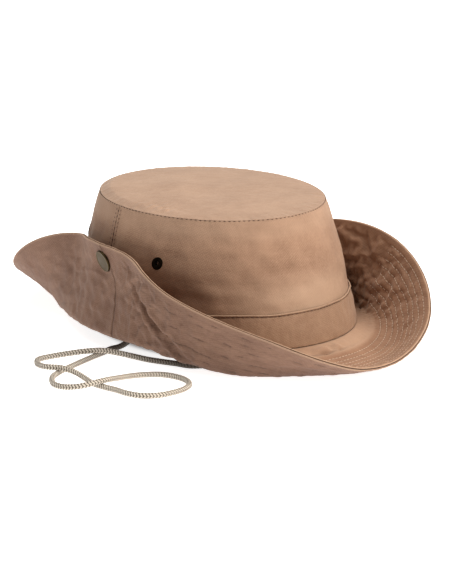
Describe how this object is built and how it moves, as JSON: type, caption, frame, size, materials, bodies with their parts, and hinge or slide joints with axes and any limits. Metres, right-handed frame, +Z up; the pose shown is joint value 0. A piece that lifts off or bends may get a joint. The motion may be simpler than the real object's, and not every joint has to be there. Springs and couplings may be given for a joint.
{
  "type": "safari hat",
  "caption": "Soft cloth safari hat with an oval crown, a hat band, a quilted brim snapped up at both sides, eyelets and a loose chin cord.",
  "frame": {"origin": "on the standing surface, under the middle of the hat's own box without the chin cord", "axes": "+Z up, the front dip of the brim towards -Y, the snapped sides towards -X and +X"},
  "size_m": [0.2765, 0.3259, 0.095],
  "materials": {
    "crown_cloth": "woven cotton, light tan, matt",
    "brim_cloth": "woven cotton, light tan, quilted in rows",
    "eyelet_metal": "darkened antique brass",
    "snap_metal": "antique brass, satin",
    "cord_braid": "braided cotton cord, beige"
  },
  "bodies": {
    "root": {"crown_tip": "crown_cloth", "crown_wall_front": "crown_cloth", "crown_wall_back": "crown_cloth", "hat_band": "crown_cloth", "brim": "brim_cloth", "eyelet_left_front": "eyelet_metal", "eyelet_left_rear": "eyelet_metal", "eyelet_right_front": "eyelet_metal", "eyelet_right_rear": "eyelet_metal", "snap_cap_left": "snap_metal", "snap_cap_right": "snap_metal", "snap_base_left": "snap_metal", "snap_base_right": "snap_metal", "cord_anchor_left": "crown_cloth", "cord_anchor_right": "crown_cloth", "chin_cord": "cord_braid"}
  },
  "joints": []
}
